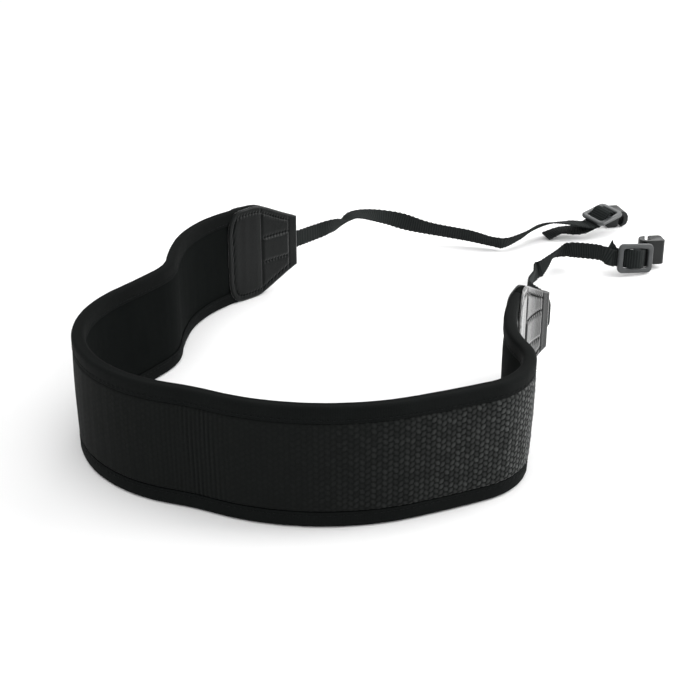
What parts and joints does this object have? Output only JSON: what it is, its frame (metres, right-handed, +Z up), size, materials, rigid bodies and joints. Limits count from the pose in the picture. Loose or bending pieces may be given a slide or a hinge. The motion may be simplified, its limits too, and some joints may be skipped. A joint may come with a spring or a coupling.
{
  "type": "camera neck strap",
  "caption": "Padded neck strap standing on its long edge in a curve, with sewn end patches, narrow webbing straps, slides and open clips.",
  "frame": {"origin": "middle of the footprint, on the surface the strap stands on", "axes": "+Z up; -Y towards the side of the picture's camera; +X towards the slides and clips"},
  "size_m": [0.3532, 0.4452, 0.061],
  "materials": {
    "padding_cloth": "smooth dark knit over foam, dull",
    "grip_knit": "raised rice-grain knit, slightly shiny",
    "binding_tape": "folded fine tape, dull",
    "patch_leather": "soft synthetic leather, satin sheen",
    "ribbed_webbing": "flat ribbed weave, dull",
    "slide_plastic": "moulded, satin"
  },
  "bodies": {
    "root": {"pad_core": "padding_cloth", "grip_panel": "grip_knit", "upper_binding": "binding_tape", "lower_binding": "binding_tape", "left_outer_patch": "patch_leather", "left_inner_patch": "patch_leather", "right_outer_patch": "patch_leather", "right_inner_patch": "patch_leather", "left_strap": "ribbed_webbing", "right_strap": "ribbed_webbing", "left_slide": "slide_plastic", "right_slide": "slide_plastic", "left_clip": "slide_plastic", "right_clip": "slide_plastic"}
  },
  "joints": []
}
